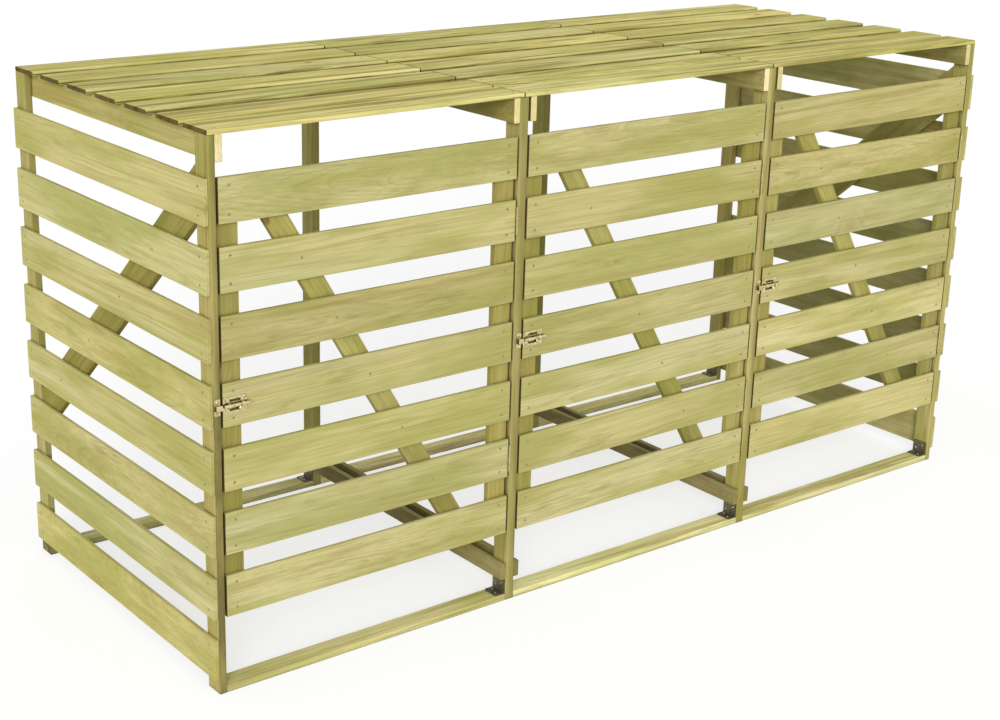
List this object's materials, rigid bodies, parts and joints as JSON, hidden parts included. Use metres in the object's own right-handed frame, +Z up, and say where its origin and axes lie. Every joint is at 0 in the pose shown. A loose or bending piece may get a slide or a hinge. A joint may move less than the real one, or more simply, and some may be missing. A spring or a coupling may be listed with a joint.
{
  "type": "wheelie bin store",
  "caption": "Slatted softwood store for wheeled bins, with three bays side by side, a plank roof, an open back and a hinged, bolted slat door in front of each bay.",
  "frame": {"origin": "on the ground, midway along the store and midway between the bolt keepers' fronts and the rear posts' backs", "axes": "+X along the store to the right as seen from the doors, +Y from the doors to the open back, +Z up"},
  "size_m": [2.194, 0.8306, 1.12],
  "materials": {
    "pressure_treated_timber": "sawn softwood, pressure treated green",
    "zinc_plated_steel": "zinc plated, yellow passivated",
    "grey_bracket_steel": "dark grey"
  },
  "bodies": {
    "store_frame": {"front_left_post": "pressure_treated_timber", "front_partition_1_post": "pressure_treated_timber", "front_partition_2_post": "pressure_treated_timber", "front_right_post": "pressure_treated_timber", "rear_left_post": "pressure_treated_timber", "rear_partition_1_post": "pressure_treated_timber", "rear_partition_2_post": "pressure_treated_timber", "rear_right_post": "pressure_treated_timber", "left_side_slats": "pressure_treated_timber", "right_side_slats": "pressure_treated_timber", "left_side_brace": "pressure_treated_timber", "right_side_brace": "pressure_treated_timber", "bottom_rails": "pressure_treated_timber", "partition_rails_1": "pressure_treated_timber", "partition_rails_2": "pressure_treated_timber", "roof_planks_1": "pressure_treated_timber", "roof_planks_2": "pressure_treated_timber", "roof_planks_3": "pressure_treated_timber", "roof_battens": "pressure_treated_timber", "side_screws": "zinc_plated_steel", "roof_screws": "zinc_plated_steel", "frame_screws": "zinc_plated_steel", "hinge_post_leaves": "zinc_plated_steel", "hinge_pins": "zinc_plated_steel", "hinge_post_screws": "zinc_plated_steel", "latch_keepers": "zinc_plated_steel", "keeper_screws": "zinc_plated_steel", "corner_brackets": "grey_bracket_steel", "bracket_screws": "zinc_plated_steel"},
    "door_1": {"door_slats_1": "pressure_treated_timber", "door_left_stile_1": "pressure_treated_timber", "door_right_stile_1": "pressure_treated_timber", "door_brace_1": "pressure_treated_timber", "door_screws_1": "zinc_plated_steel", "hinge_door_leaves_1": "zinc_plated_steel", "hinge_door_screws_1": "zinc_plated_steel", "latch_plate_1": "zinc_plated_steel", "latch_plate_screws_1": "zinc_plated_steel"},
    "door_2": {"door_slats_2": "pressure_treated_timber", "door_left_stile_2": "pressure_treated_timber", "door_right_stile_2": "pressure_treated_timber", "door_brace_2": "pressure_treated_timber", "door_screws_2": "zinc_plated_steel", "hinge_door_leaves_2": "zinc_plated_steel", "hinge_door_screws_2": "zinc_plated_steel", "latch_plate_2": "zinc_plated_steel", "latch_plate_screws_2": "zinc_plated_steel"},
    "door_3": {"door_slats_3": "pressure_treated_timber", "door_left_stile_3": "pressure_treated_timber", "door_right_stile_3": "pressure_treated_timber", "door_brace_3": "pressure_treated_timber", "door_screws_3": "zinc_plated_steel", "hinge_door_leaves_3": "zinc_plated_steel", "hinge_door_screws_3": "zinc_plated_steel", "latch_plate_3": "zinc_plated_steel", "latch_plate_screws_3": "zinc_plated_steel"},
    "bolt_1": {"latch_bolt_1": "zinc_plated_steel"},
    "bolt_2": {"latch_bolt_2": "zinc_plated_steel"},
    "bolt_3": {"latch_bolt_3": "zinc_plated_steel"}
  },
  "joints": [
    {"name": "door_1_hinge", "type": "hinge", "parent": "store_frame", "child": "door_1", "pos_m": [-0.374, -0.40745, 0.5975], "axis": [0, 0, 1], "range_deg": [0, 100]},
    {"name": "door_2_hinge", "type": "hinge", "parent": "store_frame", "child": "door_2", "pos_m": [0.348, -0.40745, 0.5975], "axis": [0, 0, 1], "range_deg": [0, 100]},
    {"name": "door_3_hinge", "type": "hinge", "parent": "store_frame", "child": "door_3", "pos_m": [1.07, -0.40745, 0.5975], "axis": [0, 0, 1], "range_deg": [0, 100]},
    {"name": "bolt_1_slide", "type": "slide", "parent": "door_1", "child": "bolt_1", "axis": [-1, 0, 0], "range_m": [0, 0.0175]},
    {"name": "bolt_2_slide", "type": "slide", "parent": "door_2", "child": "bolt_2", "axis": [-1, 0, 0], "range_m": [0, 0.0175]},
    {"name": "bolt_3_slide", "type": "slide", "parent": "door_3", "child": "bolt_3", "axis": [-1, 0, 0], "range_m": [0, 0.0175]}
  ]
}
